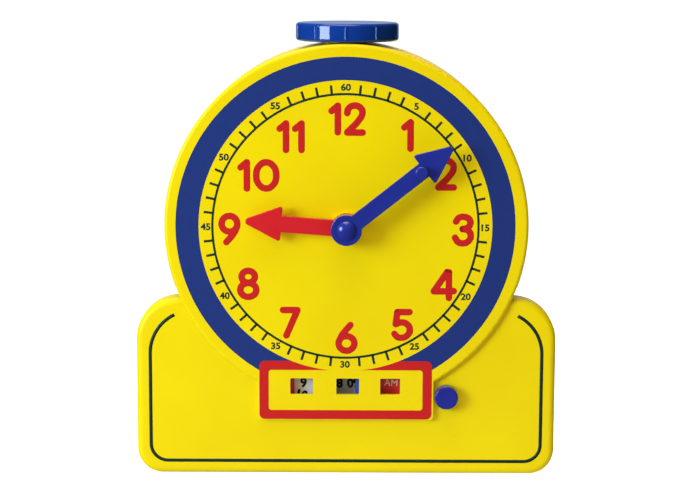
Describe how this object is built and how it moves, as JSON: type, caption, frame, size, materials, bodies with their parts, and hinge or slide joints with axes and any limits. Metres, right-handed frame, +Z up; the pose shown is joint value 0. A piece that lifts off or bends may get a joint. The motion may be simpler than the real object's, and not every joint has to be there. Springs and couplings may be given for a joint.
{
  "type": "geared teaching clock",
  "caption": "Desk-standing teaching clock with a round dial on a wide base, geared hands driven by a top knob, number windows and a sliding shutter.",
  "frame": {"origin": "centre of the clock's bounding box, on the plane that it stands on", "axes": "+Z up, +X to the viewer's right as the dial is read, +Y from the dial to the back of the case"},
  "size_m": [0.298, 0.099, 0.3205],
  "materials": {
    "case_yellow": "semi-gloss moulded",
    "hand_red": "semi-gloss moulded",
    "hand_blue": "semi-gloss moulded",
    "knob_blue": "gloss moulded",
    "disc_grey": "matt sheet",
    "disc_red": "matt sheet",
    "shutter_red": "matt sheet",
    "gear_white": "natural moulded acetal",
    "steel": "zinc plated"
  },
  "bodies": {
    "case": {"front_shell": "case_yellow", "rear_shell": "case_yellow", "case_screws": "steel", "gear_screws": "steel", "bearing_bridge": "gear_white", "bridge_screws": "steel", "knob_bush": "gear_white"},
    "minute_works": {"minute_arbor": "gear_white", "minute_disc": "disc_grey", "crown_wheel": "gear_white", "disc_screws": "steel", "minute_hand": "hand_blue", "hub_cap": "hand_blue"},
    "hour_works": {"hour_wheel": "gear_white", "hour_hand": "hand_red"},
    "reduction": {"reduction_gear": "gear_white"},
    "idler_upper": {"upper_idler": "gear_white"},
    "idler_lower": {"lower_idler": "gear_white"},
    "hour_number_disc": {"hour_disc": "disc_grey"},
    "link_left": {"link_idler_left": "gear_white"},
    "link_right": {"link_idler_right": "gear_white"},
    "noon_disc": {"am_pm_disc": "disc_red"},
    "knob_works": {"top_knob": "knob_blue", "knob_shaft": "steel", "shaft_clip": "gear_white", "drive_pinion": "gear_white", "pinion_pin": "steel"},
    "shutter_drive": {"shutter_knob": "knob_blue", "shutter_pinion": "gear_white", "pinion_screw": "steel"},
    "shutter": {"shutter_slide": "shutter_red"}
  },
  "joints": [
    {"name": "minute_turn", "type": "hinge", "parent": "case", "child": "minute_works", "pos_m": [0, 0, 0.179], "axis": [0, 1, 0], "continuous": true},
    {"name": "hour_turn", "type": "hinge", "parent": "case", "child": "hour_works", "pos_m": [0, 0, 0.179], "axis": [0, 1, 0], "continuous": true},
    {"name": "reduction_turn", "type": "hinge", "parent": "case", "child": "reduction", "pos_m": [0, 0, 0.209], "axis": [0, 1, 0], "continuous": true},
    {"name": "upper_idler_turn", "type": "hinge", "parent": "case", "child": "idler_upper", "pos_m": [-0.02843, 0, 0.15016], "axis": [0, 1, 0], "continuous": true},
    {"name": "lower_idler_turn", "type": "hinge", "parent": "case", "child": "idler_lower", "pos_m": [-0.0337, 0, 0.1191], "axis": [0, 1, 0], "continuous": true},
    {"name": "hour_disc_turn", "type": "hinge", "parent": "case", "child": "hour_number_disc", "pos_m": [-0.0646, 0, 0.0642], "axis": [0, 1, 0], "continuous": true},
    {"name": "link_left_turn", "type": "hinge", "parent": "case", "child": "link_left", "pos_m": [-0.01495, 0, 0.03051], "axis": [0, 1, 0], "continuous": true},
    {"name": "link_right_turn", "type": "hinge", "parent": "case", "child": "link_right", "pos_m": [0.00905, 0, 0.03051], "axis": [0, 1, 0], "continuous": true},
    {"name": "am_pm_disc_turn", "type": "hinge", "parent": "case", "child": "noon_disc", "pos_m": [0.0587, 0, 0.0642], "axis": [0, 1, 0], "continuous": true},
    {"name": "top_knob_turn", "type": "hinge", "parent": "case", "child": "knob_works", "pos_m": [0, 0.012, 0.3], "axis": [0, 0, 1], "continuous": true},
    {"name": "shutter_knob_turn", "type": "hinge", "parent": "case", "child": "shutter_drive", "pos_m": [0.0713, -0.0255, 0.0575], "axis": [0, -1, 0], "range_deg": [0, 156.6]},
    {"name": "shutter_move", "type": "slide", "parent": "case", "child": "shutter", "axis": [1, 0, 0], "range_m": [0, 0.0164]}
  ],
  "couplings": [
    {"joint": "hour_turn", "follows": "minute_turn", "ratio": 0.083333},
    {"joint": "reduction_turn", "follows": "minute_turn", "ratio": -0.33333},
    {"joint": "upper_idler_turn", "follows": "minute_turn", "ratio": -0.12121},
    {"joint": "lower_idler_turn", "follows": "minute_turn", "ratio": 0.13333},
    {"joint": "hour_disc_turn", "follows": "minute_turn", "ratio": -0.041667},
    {"joint": "link_left_turn", "follows": "minute_turn", "ratio": 0.16667},
    {"joint": "link_right_turn", "follows": "minute_turn", "ratio": -0.16667},
    {"joint": "am_pm_disc_turn", "follows": "minute_turn", "ratio": 0.041667},
    {"joint": "top_knob_turn", "follows": "minute_turn", "ratio": 3},
    {"joint": "shutter_move", "follows": "shutter_knob_turn", "m_per_rad": 0.006}
  ]
}
